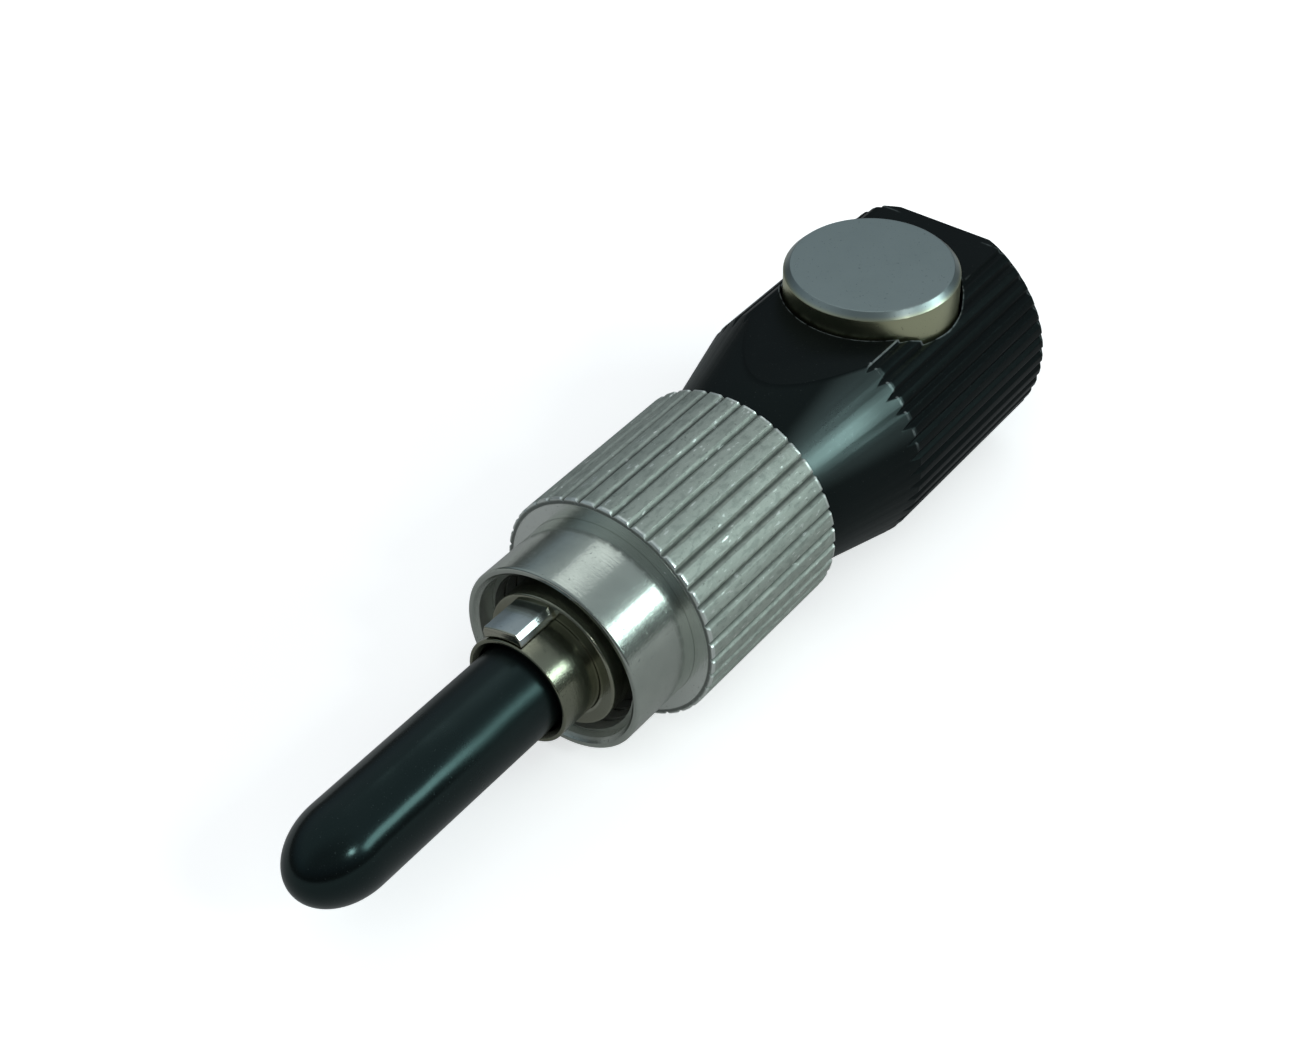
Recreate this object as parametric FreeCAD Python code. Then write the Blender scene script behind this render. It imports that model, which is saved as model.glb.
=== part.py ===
import FreeCAD, Part
import math
import os

# Push-button bare-fibre adapter with a round threaded plug. Millimetres, +Z up through the button.
# The plug's axis is X: the ferrule points to -X and the fibre enters from +X.
# The origin is on the axis, at the front face of the key ring, level with the nut's rim.

V = FreeCAD.Vector

# Standard plug sizes that the rest is built round: the ferrule and the coupling thread
ferrule_d = 2.5
thread_d = 8.0
thread_pitch = 0.75
thread_depth_ratio = 0.5413

# Ferrule group: ceramic ferrule, metal flange, guide tube and coil spring
ferrule_reach = 4.5
ferrule_seat = 1.5
ferrule_chamfer = 0.35
fibre_hole_d = 0.126
fibre_funnel_d = 0.8
fibre_funnel_len = 0.8
flange_len = 2.2
flange_edge = 0.2
float_travel = 1.0
guide_d = 1.0
guide_wall = 0.2
guide_room = 3.65
ferrule_spring_wire = 0.4
ferrule_spring_turns = 5
seat_len = 3.9

# Dust cap
cap_reach = 14.95
cap_wall = 0.725
cap_dome = 2.85
cap_end_wall = 2.6
cap_mouth_edge = 0.2

# Plug frame and key ring
nose_reach = 2.2
nose_wall = 0.35
nose_edge = 0.1
nose_lead = 0.2
cap_pocket_depth = 3.8
neck_len = 1.0
front_wall = 0.75
barrel_wall = 0.65
stop_rise = 0.464
stop_len = 1.3
key_ring_len = 2.6
key_ring_share = 0.633
key_ring_edge = 0.12
key_w = 2.0
key_rise = 0.48
key_edge = 0.32
key_setback = 0.1
key_angle = 75.0

# Coupling nut
collar_wall = 0.45
collar_len = 3.75
collar_edge = 0.15
nut_step = 0.95
nut_len = 12.65
nut_edge = 0.12
nut_lip_len = 3.2
relief_len = 3.45
relief_depth = 0.1
nut_ridges = 38
nut_ridge_land = 0.54
nut_ridge_depth = 0.18

# Clamp body
body_step = 0.575
cone_drop = 1.375
cone_len = 5.6
cone_edge = 0.15
body_edge = 0.4
flat_cut = 0.955
body_ridges = 48
body_ridge_land = 0.36
body_ridge_depth = 0.18
socket_depth = 3.4
button_front = 7.0
button_back = 6.3
fibre_bore_d = 1.0
entry_d = 3.0
entry_depth = 1.0

# Push button and its spring and screw
button_d = 8.0
button_stand = 1.24
button_thick = 2.7
button_edge = 0.3
button_travel = 1.0
stem_d = 3.0
grip_hole_d = 1.4
grip_cover = 0.1
button_spring_wire = 0.35
button_spring_turns = 3
spring_roof = 0.5
screw_d = 1.6
screw_len = 2.0
screw_ledge = 0.4
screw_head_len = 1.15
screw_slot_w = 0.5
screw_slot_depth = 0.5

# Clearances
glue_gap = 0.02
slide_gap = 0.05
cap_gap = 0.125
spin_gap = 0.08
rest_gap = 0.05
button_gap = 0.15
coil_gap = 0.2
nut_end_play = 0.2
body_gap = 0.3
floor_gap = 0.25

# Coil wire: straight runs in a turn, sides of its section, and the joint that mitres the runs
coil_runs = 16
wire_sides = 8
mitred = 1

# Reach within which an edge counts as lying on a face's plane
on_plane = 0.001

X_AXIS = V(1, 0, 0)
Z_AXIS = V(0, 0, 1)
ORIGIN = V(0, 0, 0)

# Radii of the barrel inside the thread, from the thread inwards
thread_r = thread_d / 2
thread_minor_r = thread_r - thread_depth_ratio * thread_pitch
stop_r = thread_minor_r - spin_gap
front_barrel_r = stop_r - stop_rise
frame_bore_r = front_barrel_r - front_wall
barrel_r = frame_bore_r + barrel_wall
flange_r = frame_bore_r - slide_gap
ferrule_spring_r = frame_bore_r - coil_gap - ferrule_spring_wire / 2

# Radii of the ferrule and of what slides on it or follows it
ferrule_r = ferrule_d / 2
neck_r = ferrule_r + cap_gap
guide_r = guide_d / 2
guide_bore_r = guide_r - guide_wall

# Radii of the cap, the nose round it and the key ring, from the ferrule outwards
cap_bore_r = ferrule_r + slide_gap
cap_r = cap_bore_r + cap_wall
pocket_r = cap_r + cap_gap
nose_r = pocket_r + nose_wall
key_ring_bore_r = nose_r + glue_gap
key_ring_r = key_ring_bore_r + key_ring_share * (thread_minor_r - key_ring_bore_r)
key_top = key_ring_bore_r + key_rise

# Radii outside the thread, from the thread outwards
relief_r = thread_r + relief_depth
collar_r = thread_r + collar_wall
nut_r = collar_r + nut_step
body_r = nut_r + body_step
cone_r = body_r - cone_drop

# Radii round the button's axis
button_r = button_d / 2
stem_r = stem_d / 2
button_spring_r = stem_r + coil_gap + button_spring_wire / 2
button_well_r = button_spring_r + button_spring_wire / 2 + coil_gap
screw_r = screw_d / 2
screw_head_r = stem_r + screw_ledge

# Places along the plug's axis
nose_x = -nose_reach
cap_seat_x = nose_x + cap_pocket_depth
neck_end_x = cap_seat_x + neck_len
flange_x = neck_end_x + rest_gap
flange_end_x = flange_x + flange_len
ferrule_tip_x = nose_x - ferrule_reach
ferrule_end_x = flange_x + ferrule_seat
lip_x = nut_len - nut_lip_len
thread_end_x = lip_x - relief_len
stop_end_x = lip_x - nut_end_play
stop_x = stop_end_x - stop_len
body_x = nut_len + body_gap
socket_x = body_x + socket_depth
seat_x = socket_x - seat_len
button_x = socket_x + button_front
body_end_x = button_x + button_back
guide_end_x = button_x - stem_r - guide_room

# Heights along the button's axis
flat_z = body_r - flat_cut
underside_z = -(nut_r + rest_gap)
button_top_z = flat_z + button_stand
button_low_z = button_top_z - button_thick
pocket_z = button_low_z - button_travel - floor_gap
well_z = fibre_bore_d / 2 + spring_roof
screw_seat_z = underside_z + rest_gap + button_travel + screw_head_len + rest_gap
stem_end_z = screw_seat_z - rest_gap
grip_z = grip_hole_d / 2 + grip_cover


def turned(outline):
    """Turn a closed outline of (x, radius) points round the plug's axis."""
    points = [V(x, 0, r) for x, r in outline]
    face = Part.Face(Part.makePolygon(points + points[:1]))
    return face.revolve(ORIGIN, X_AXIS, 360)


def rod(x0, x1, radius):
    """A cylinder along the plug's axis from x0 to x1."""
    return Part.makeCylinder(radius, x1 - x0, V(x0, 0, 0), X_AXIS)


def post(z0, z1, radius):
    """A cylinder along the button's axis from z0 to z1."""
    return Part.makeCylinder(radius, z1 - z0, V(button_x, 0, z0), Z_AXIS)


def straight_knurl(tip_r, depth, land, ridges, x0, x1):
    """A prism whose section has flat-topped ridges with V grooves between them, one ridge straight up."""
    half_land = math.asin(land / 2 / tip_r)
    half_pitch = math.pi / ridges
    points = []
    for ridge in range(ridges):
        middle = 2 * half_pitch * ridge
        corners = ((tip_r, -half_land), (tip_r, half_land), (tip_r - depth, half_pitch))
        for r, turn in corners:
            points.append(V(x0, r * math.sin(middle + turn), r * math.cos(middle + turn)))
    section = Part.Face(Part.makePolygon(points + points[:1]))
    return section.extrude(V(x1 - x0, 0, 0))


def coil(mean_r, wire_d, length, turns):
    """A compression coil standing on the XY plane: short straight runs of wire, mitred where they meet."""
    runs = turns * coil_runs
    turn = 2 * math.pi / coil_runs
    climb = (length - wire_d - 2 * glue_gap) / runs
    low_z = wire_d / 2 + glue_gap
    points = []
    for bend in range(runs + 1):
        points.append(V(mean_r * math.cos(turn * bend), mean_r * math.sin(turn * bend), low_z + climb * bend))
    corners = Part.makeCircle(wire_d / 2, points[0], points[1] - points[0]).discretize(wire_sides + 1)
    section = Part.makePolygon(corners[:wire_sides] + corners[:1])
    return Part.makePolygon(points).makePipeShell([section], True, False, mitred)


def ferrule():
    """Ceramic ferrule with a chamfered tip, a fibre hole and a rear funnel."""
    hole_r = fibre_hole_d / 2
    funnel_r = fibre_funnel_d / 2
    return turned([
        (ferrule_tip_x, hole_r),
        (ferrule_tip_x, ferrule_r - ferrule_chamfer),
        (ferrule_tip_x + ferrule_chamfer, ferrule_r),
        (ferrule_end_x, ferrule_r),
        (ferrule_end_x, funnel_r),
        (ferrule_end_x - fibre_funnel_len, hole_r),
    ])


def ferrule_flange():
    """Collar on the ferrule's end that stops it at the neck and carries the spring."""
    bore_r = ferrule_r + glue_gap
    guide_hole_r = guide_r + glue_gap
    return turned([
        (flange_x, bore_r),
        (flange_x, flange_r - flange_edge),
        (flange_x + flange_edge, flange_r),
        (flange_end_x, flange_r),
        (flange_end_x, guide_hole_r),
        (ferrule_end_x, guide_hole_r),
        (ferrule_end_x, bore_r),
    ])


def guide_tube():
    """Thin tube that leads the fibre from the clamp to the ferrule's funnel."""
    return rod(ferrule_end_x, guide_end_x, guide_r).cut(rod(ferrule_end_x, guide_end_x, guide_bore_r))


def ferrule_spring():
    """Coil between the ferrule's flange and the spring seat."""
    wire = coil(ferrule_spring_r, ferrule_spring_wire, seat_x - flange_end_x, ferrule_spring_turns)
    wire.rotate(ORIGIN, V(0, 1, 0), 90)
    wire.translate(V(flange_end_x, 0, 0))
    return wire


def spring_seat():
    """Bush in the frame's rear end that backs the ferrule's spring."""
    outer = rod(seat_x, socket_x, frame_bore_r - glue_gap)
    return outer.cut(rod(seat_x, socket_x, guide_r + slide_gap))


def dust_cap():
    """Soft closed tube with a rounded end, pushed over the ferrule into the nose."""
    tip = V(-cap_reach, 0, 0)
    mouth_x = cap_seat_x - rest_gap
    dome_foot = V(cap_dome - cap_reach, 0, cap_r)
    oval = Part.Ellipse(tip, dome_foot, V(dome_foot.x, 0, 0))
    dome = Part.ArcOfEllipse(oval, 0, math.pi / 2).toShape()
    side = Part.makePolygon([
        dome_foot,
        V(mouth_x - cap_mouth_edge, 0, cap_r),
        V(mouth_x, 0, cap_r - cap_mouth_edge),
        V(mouth_x, 0, 0),
        tip,
    ])
    shell = Part.Face(Part.Wire([dome] + side.Edges)).revolve(ORIGIN, X_AXIS, 360)
    return shell.cut(rod(tip.x + cap_end_wall, mouth_x, cap_bore_r))


def plug_frame():
    """Turned inner frame: thin nose, neck, barrel, nut stop and rear stub."""
    return turned([
        (nose_x, pocket_r + nose_lead),
        (nose_x, nose_r - nose_edge),
        (nose_x + nose_edge, nose_r),
        (key_ring_len, nose_r),
        (key_ring_len, front_barrel_r),
        (stop_x, front_barrel_r),
        (stop_x, stop_r),
        (stop_end_x, stop_r),
        (stop_end_x, barrel_r),
        (socket_x, barrel_r),
        (socket_x, frame_bore_r),
        (neck_end_x, frame_bore_r),
        (neck_end_x, neck_r),
        (cap_seat_x, neck_r),
        (cap_seat_x, pocket_r),
        (nose_x + nose_lead, pocket_r),
    ])


def key_ring():
    """Ring on the nose with the forward key that lines up the plug."""
    ring = turned([
        (0, key_ring_bore_r),
        (0, key_ring_r - key_ring_edge),
        (key_ring_edge, key_ring_r),
        (key_ring_len, key_ring_r),
        (key_ring_len, key_ring_bore_r),
    ])
    key_x = nose_x + key_setback
    low_z = key_ring_bore_r + glue_gap
    half_w = key_w / 2
    section = Part.makePolygon([
        V(key_x, -half_w, 0),
        V(key_x, -half_w, key_top - key_edge),
        V(key_x, key_edge - half_w, key_top),
        V(key_x, half_w - key_edge, key_top),
        V(key_x, half_w, key_top - key_edge),
        V(key_x, half_w, 0),
        V(key_x, -half_w, 0),
    ])
    key = Part.Face(section).extrude(V(key_ring_edge - key_x, 0, 0))
    key = key.cut(rod(key_x, key_ring_edge, low_z))
    key.rotate(ORIGIN, X_AXIS, key_angle - 90)
    return ring.fuse(key).removeSplitter()


def coupling_nut():
    """Knurled nut with a smooth collar, a plain thread bore and a rear lip."""
    entry = thread_r - thread_minor_r
    form = turned([
        (0, thread_r),
        (0, collar_r - collar_edge),
        (collar_edge, collar_r),
        (collar_len, collar_r),
        (collar_len, nut_r - nut_edge),
        (collar_len + nut_edge, nut_r),
        (nut_len - nut_edge, nut_r),
        (nut_len, nut_r - nut_edge),
        (nut_len, barrel_r + spin_gap),
        (lip_x, barrel_r + spin_gap),
        (lip_x, relief_r),
        (thread_end_x, relief_r),
        (thread_end_x, thread_minor_r),
        (entry, thread_minor_r),
    ])
    return form.common(straight_knurl(nut_r, nut_ridge_depth, nut_ridge_land, nut_ridges, 0, nut_len))


def clamp_body():
    """Black clamp body: cone, knurled sides, two flats, button pocket and fibre bore."""
    form = turned([
        (body_x, 0),
        (body_x, cone_r - cone_edge),
        (body_x + cone_edge, cone_r),
        (body_x + cone_len, body_r),
        (body_end_x - body_edge, body_r),
        (body_end_x, body_r - body_edge),
        (body_end_x, 0),
    ])
    knurl = straight_knurl(body_r, body_ridge_depth, body_ridge_land, body_ridges, body_x, body_end_x)
    form = form.common(knurl)
    corner = V(body_x, -body_r, underside_z)
    form = form.common(Part.makeBox(body_end_x - body_x, 2 * body_r, flat_z - underside_z, corner))
    hollows = [
        rod(body_x, socket_x, barrel_r + glue_gap),
        rod(socket_x, guide_end_x + float_travel + floor_gap, guide_r + slide_gap),
        rod(socket_x, body_end_x, fibre_bore_d / 2),
        Part.makeCone(fibre_bore_d / 2, entry_d / 2, entry_depth, V(body_end_x - entry_depth, 0, 0), X_AXIS),
        post(pocket_z, button_top_z, button_r + button_gap),
        post(well_z, button_top_z, button_well_r),
        post(underside_z, button_top_z, stem_r + slide_gap),
        post(underside_z, screw_seat_z, screw_head_r + button_gap),
    ]
    for hollow in hollows:
        form = form.cut(hollow)
    return form


def push_button():
    """Round chamfered button with a stem and a cross hole that grips the fibre."""
    head = post(button_low_z, button_top_z, button_r)
    rim = [edge for edge in head.Edges if abs(edge.BoundBox.ZMin - button_top_z) < on_plane]
    head = head.makeChamfer(button_edge, rim)
    button = head.fuse(post(stem_end_z, button_low_z, stem_r)).removeSplitter()
    grip = Part.makeCylinder(grip_hole_d / 2, stem_d, V(button_x - stem_r, 0, grip_z), X_AXIS)
    button = button.cut(grip)
    return button.cut(post(stem_end_z, stem_end_z + screw_len + glue_gap, screw_r + glue_gap))


def button_spring():
    """Coil round the stem that lifts the button."""
    wire = coil(button_spring_r, button_spring_wire, button_low_z - well_z, button_spring_turns)
    wire.translate(V(button_x, 0, well_z))
    return wire


def button_screw():
    """Slotted screw in the stem's end that keeps the button in the body."""
    head_low_z = stem_end_z - screw_head_len
    screw = post(head_low_z, stem_end_z, screw_head_r)
    screw = screw.fuse(post(stem_end_z, stem_end_z + screw_len, screw_r)).removeSplitter()
    corner = V(button_x - screw_head_r, -screw_slot_w / 2, head_low_z)
    return screw.cut(Part.makeBox(2 * screw_head_r, screw_slot_w, screw_slot_depth, corner))


PIECES = (
    dust_cap,
    ferrule,
    ferrule_flange,
    guide_tube,
    ferrule_spring,
    spring_seat,
    plug_frame,
    key_ring,
    coupling_nut,
    clamp_body,
    push_button,
    button_spring,
    button_screw,
)

os.makedirs("parts", exist_ok=True)
for piece in PIECES:
    solid = piece()
    solid.exportStep(f"parts/{piece.__name__}.step")
    print(piece.__name__, solid.isValid(), len(solid.Solids), round(solid.Volume, 3))
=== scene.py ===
"""Dresses the push-button bare-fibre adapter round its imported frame, as the photograph shows it."""

import logging
import math
from dataclasses import dataclass
from enum import Enum
from typing import Any, Callable, Sequence, Union

import bmesh
import bpy
from bpy.types import ID, Material, Mesh, Node, NodeSocket, NodeTree, Object
from mathutils import Matrix, Vector


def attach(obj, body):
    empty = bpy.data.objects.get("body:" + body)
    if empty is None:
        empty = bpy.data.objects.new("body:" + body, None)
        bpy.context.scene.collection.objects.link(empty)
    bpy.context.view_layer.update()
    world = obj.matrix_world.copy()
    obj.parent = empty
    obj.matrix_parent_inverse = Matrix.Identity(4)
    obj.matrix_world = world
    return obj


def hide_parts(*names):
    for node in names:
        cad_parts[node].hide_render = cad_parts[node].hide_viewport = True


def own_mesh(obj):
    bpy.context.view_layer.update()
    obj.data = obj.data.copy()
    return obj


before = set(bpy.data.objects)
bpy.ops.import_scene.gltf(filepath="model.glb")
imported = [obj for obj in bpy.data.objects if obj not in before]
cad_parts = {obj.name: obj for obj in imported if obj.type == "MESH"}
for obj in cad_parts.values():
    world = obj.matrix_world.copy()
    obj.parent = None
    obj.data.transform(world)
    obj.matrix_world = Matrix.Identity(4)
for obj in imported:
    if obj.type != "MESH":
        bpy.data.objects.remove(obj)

LOG = logging.getLogger("adapter")

# Pieces are shaped in millimetres and shrunk to metres when they are finished
MM = 0.001
PER_METRE = 1000.0
TINY = 1e-6
FULL_TURN = 2 * math.pi
QUARTER_TURN = math.pi / 2
LIE_DOWN = Matrix.Rotation(QUARTER_TURN, 4, "Y")
WHITE = (1.0, 1.0, 1.0)

# How finely round shapes are drawn, and below which angle an edge is shaded smooth
TURNED_SIDES = 128
SMOOTH_BELOW = math.radians(38)

# How much of a side a rounded corner may take, and how far beside it the straight run is held
CORNER_SHARE = 0.45
CORNER_HOLD = 1.08

# Where the button's axis crosses the plug's, and the middle of the part, where the lamps point
BUTTON_X = 23.35
LAMP_AIM = (8.0, 0.0, 0.0)

# Sizes that two classes follow: the nose, the body's cone and top flat, the button's pocket and well
NOSE_R = 2.5
CONE_R = 4.6
FLAT_Z = 5.02
POCKET_R = 4.15
WELL_Z = 1.0

# A column is a turn and a radius, a band is where a ramp starts and ends, a weave is a noise's scale
# and detail, and a corner is a point and its rounding
Point = tuple[float, float]
Column = tuple[float, float]
Band = tuple[float, float]
Weave = tuple[float, float]
Triple = tuple[float, float, float]
Corner = Triple
Colour = Triple
Feed = Union["Shade", Node, NodeSocket, float, Sequence[float]]


class Axis(Enum):
    """The two axes that pieces are turned about."""

    PLUG = "plug"
    BUTTON = "button"

    def place(self, along: float, radius: float, turn: float) -> Vector:
        """Give a point round this axis.

        Args:
            along: Distance along the axis, in millimetres.
            radius: Distance from the axis, in millimetres.
            turn: Turn about the axis, in radians.

        Returns:
            The point, in millimetres.
        """
        if self is Axis.PLUG:
            return Vector((along, radius * math.cos(turn), radius * math.sin(turn)))
        return Vector((BUTTON_X + radius * math.cos(turn), radius * math.sin(turn), along))


class Joinery(Enum):
    """Ways of putting a second solid to a first."""

    CUT = "DIFFERENCE"
    WELD = "UNION"


class Body(Enum):
    """The moving bodies that pieces ride on."""

    ADAPTER = "adapter"
    NUT = "nut"
    BUTTON = "button"
    FERRULE = "ferrule_group"
    CAP = "cap"


class Slot(Enum):
    """The material slots that finishes come from."""

    VINYL = "cap_vinyl"
    ZIRCONIA = "zirconia"
    FRAME = "nickel_frame"
    NUT = "nickel_nut"
    BLACK = "black_body"
    BUTTON = "button_metal"
    STEEL = "steel"


def overload(operation: str, reflected: bool = False) -> Callable[..., "Shade"]:
    """Make a method that adds a Math node.

    Args:
        operation: The Math node's operation.
        reflected: Whether the other value comes first.

    Returns:
        The method.
    """

    def method(shade: "Shade", *others: Feed) -> "Shade":
        """Add the node for this value and any others."""
        terms = (*others, shade) if reflected else (shade, *others)
        return shade.graph.maths(operation, *terms)

    return method


class Shade:
    """A node's output that turns Python arithmetic into Math nodes."""

    __add__, __radd__ = overload("ADD"), overload("ADD", reflected=True)
    __sub__, __rsub__ = overload("SUBTRACT"), overload("SUBTRACT", reflected=True)
    __mul__, __rmul__ = overload("MULTIPLY"), overload("MULTIPLY", reflected=True)
    __truediv__, __rtruediv__ = overload("DIVIDE"), overload("DIVIDE", reflected=True)
    __pow__, __rpow__ = overload("POWER"), overload("POWER", reflected=True)
    __abs__ = overload("ABSOLUTE")
    most = overload("MAXIMUM")

    def __init__(self, graph: "Graph", socket: NodeSocket) -> None:
        """Keep the socket and the graph that it belongs to."""
        self.graph = graph
        self.socket = socket

    def ramp(self, start: float, end: float) -> "Shade":
        """Rise smoothly from 0 to 1.

        Args:
            start: The value that gives 0.
            end: The value that gives 1, which may be the lower one.

        Returns:
            A value from 0 to 1.
        """
        values = {"Value": self, "From Min": start, "From Max": end}
        node = self.graph.node("ShaderNodeMapRange", values, interpolation_type="SMOOTHSTEP")
        return self.graph.read(node, "Result")

    def near(self, place: float, start: float, end: float) -> "Shade":
        """Rise smoothly to 1 round a place, from one distance to a shorter one."""
        return abs(self - place).ramp(start, end)


class Graph:
    """Adds nodes to a node tree and links them."""

    def __init__(self, tree: NodeTree) -> None:
        """Empty the tree that nodes go into."""
        self.tree = tree
        tree.nodes.clear()

    def node(self, kind: str, values: dict[Any, Feed] | None = None, **settings: Any) -> Node:
        """Add one node.

        Args:
            kind: The node's type.
            values: Values or links of its sockets, by index, identifier or name.
            settings: Its own settings, set first; stops gives a ramp's (place, colour) pairs.

        Returns:
            The new node.
        """
        node = self.tree.nodes.new(kind)
        for name, setting in settings.items():
            if name == "stops":
                self._set_stops(node, setting)
            else:
                setattr(node, name, setting)
        for key, value in (values or {}).items():
            self.feed(self._pick(node.inputs, key), value)
        return node

    @staticmethod
    def _set_stops(node: Node, stops: Sequence[tuple[float, Colour]]) -> None:
        """Give a colour ramp its stops.

        Args:
            node: The ramp's node.
            stops: Pairs of a place from 0 to 1 and a colour, in rising order.
        """
        elements = node.color_ramp.elements
        while len(elements) < len(stops):
            elements.new(1.0)
        for element, (place, colour) in zip(elements, stops):
            element.position = place
            element.color = (*colour, 1.0)

    @staticmethod
    def _pick(sockets: Any, key: Any) -> NodeSocket:
        """Find a socket by identifier, index or name."""
        named = {socket.identifier: socket for socket in sockets}
        return named[key] if key in named else sockets[key]

    def feed(self, socket: NodeSocket, value: Feed) -> None:
        """Link or set a socket.

        Args:
            socket: The socket.
            value: An output, a node whose first output is meant, or a plain value.
        """
        if isinstance(value, Node):
            value = value.outputs[0]
        elif isinstance(value, Shade):
            value = value.socket
        if isinstance(value, NodeSocket):
            self.tree.links.new(value, socket)
        elif isinstance(value, tuple) and socket.type == "RGBA":
            socket.default_value = (*value, 1.0)
        else:
            socket.default_value = value

    def read(self, node: Node, key: Any = 0) -> Shade:
        """Wrap one of a node's outputs."""
        return Shade(self, self._pick(node.outputs, key))

    def maths(self, operation: str, *terms: Feed) -> Shade:
        """Add a Math node for these terms."""
        return self.read(self.node("ShaderNodeMath", dict(enumerate(terms)), operation=operation))

    def layer(self, colour: Feed, *coats: tuple[Feed, Colour]) -> Feed:
        """Lay colours over a colour.

        Args:
            colour: The colour underneath.
            coats: Pairs of a share from 0 to 1 and the colour that it brings, lowest first.

        Returns:
            The colour on top.
        """
        for share, tone in coats:
            values = {"Factor_Float": share, "A_Color": colour, "B_Color": tone}
            colour = self.read(self.node("ShaderNodeMix", values, data_type="RGBA"), "Result_Color")
        return colour


class Paint(Graph):
    """Builds one material on millimetre coordinates fixed to the piece."""

    # Lathe rings: their drift with the radius, their waves round the axis, a guard at the axis
    # itself, and their noise
    RING_DRIFT = 0.8
    RING_WAVES = 0.7
    RING_GUARD = 0.01
    RING_WEAVE = (1.0, 3.0)

    def __init__(self, name: str) -> None:
        """Start a material with a bare surface shader.

        Args:
            name: The material's name.
        """
        self.material = bpy.data.materials.new(name)
        self.material.use_nodes = True
        super().__init__(self.material.node_tree)
        self.surface = self.node("ShaderNodeBsdfPrincipled")
        self.node("ShaderNodeOutputMaterial", {"Surface": self.surface})
        values = {"Vector": self.node("ShaderNodeTexCoord").outputs["Object"], "Scale": PER_METRE}
        self.place = self.node("ShaderNodeVectorMath", values, operation="SCALE")
        apart = self.node("ShaderNodeSeparateXYZ", {"Vector": self.place})
        self.x, self.y, self.z = (self.read(apart, axis) for axis in "XYZ")

    def radius(self, axis: Axis) -> Shade:
        """Give the distance from an axis, in millimetres."""
        across = self.z if axis is Axis.PLUG else self.x - BUTTON_X
        return (self.y * self.y + across * across) ** 0.5

    def noise(self, scale: float, detail: float, where: Feed | None = None) -> Shade:
        """Give smooth noise from 0 to 1, at the piece's own coordinates or at others."""
        values = {"Vector": self.place if where is None else where, "Scale": scale, "Detail": detail}
        return self.read(self.node("ShaderNodeTexNoise", values), "Fac")

    def lathe_marks(self, axis: Axis, fineness: float) -> Shade:
        """Give noise drawn out into rings round an axis, as a turning tool leaves.

        Args:
            axis: The axis of the turned piece.
            fineness: Rings per millimetre.

        Returns:
            The noise value.
        """
        radius = self.radius(axis)
        along, across = (self.x, self.z) if axis is Axis.PLUG else (self.z, self.x - BUTTON_X)
        inverse = self.RING_WAVES / (radius + self.RING_GUARD)
        along = (along + radius * self.RING_DRIFT) * fineness
        values = {"X": along, "Y": self.y * inverse, "Z": across * inverse}
        return self.noise(*self.RING_WEAVE, self.node("ShaderNodeCombineXYZ", values))

    def dress(self, colour: Feed, roughness: Feed, height: Feed, depth: float, metallic: Feed = 0.0,
              shine: float = 0.5, gleam: Colour = WHITE) -> Material:
        """Feed the surface shader.

        Args:
            colour: Base colour.
            roughness: Surface roughness.
            height: Relief, from about 0 to 1.
            depth: What a relief of 1 stands for, in millimetres.
            metallic: Share of bare metal.
            shine: Strength of the shine where there is no metal.
            gleam: Colour of that shine.

        Returns:
            The finished material.
        """
        values = {"Base Color": colour, "Roughness": roughness, "Metallic": metallic,
                  "Specular IOR Level": shine, "Specular Tint": gleam,
                  "Normal": self.node("ShaderNodeBump", {"Height": height, "Distance": depth * MM})}
        for name, value in values.items():
            self.feed(self.surface.inputs[name], value)
        return self.material


@dataclass(frozen=True)
class Vinyl:
    """Glossy black dipped vinyl with slow dips in its wall, a little dust and a scuffed mouth."""

    name: str = "black_vinyl"
    colour: Colour = (0.0025, 0.003, 0.0033)
    dust_colour: Colour = (0.03, 0.034, 0.034)
    gleam: Colour = (0.6, 1.0, 0.98)
    shine: float = 0.39
    roughness: float = 0.16
    dips: Weave = (0.35, 1.0)
    grain: Weave = (7.0, 3.0)
    dust: Weave = (11.0, 1.0)
    dusty: Band = (0.70, 0.78)
    dust_share: float = 0.4
    scuffed_x: Band = (-9.5, -5.0)
    depth: float = 0.06

    def material(self) -> Material:
        """Build the material.

        Returns:
            The material.
        """
        paint = Paint(self.name)
        grain = paint.noise(*self.grain)
        dust = paint.noise(*self.dust).ramp(*self.dusty)
        scuffed = paint.x.ramp(*self.scuffed_x)
        colour = paint.layer(self.colour, (dust * self.dust_share, self.dust_colour))
        roughness = self.roughness + 0.06 * grain + 0.2 * dust + 0.12 * scuffed
        height = paint.noise(*self.dips) + 0.012 * grain
        return paint.dress(colour, roughness, height, self.depth, shine=self.shine, gleam=self.gleam)


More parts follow.
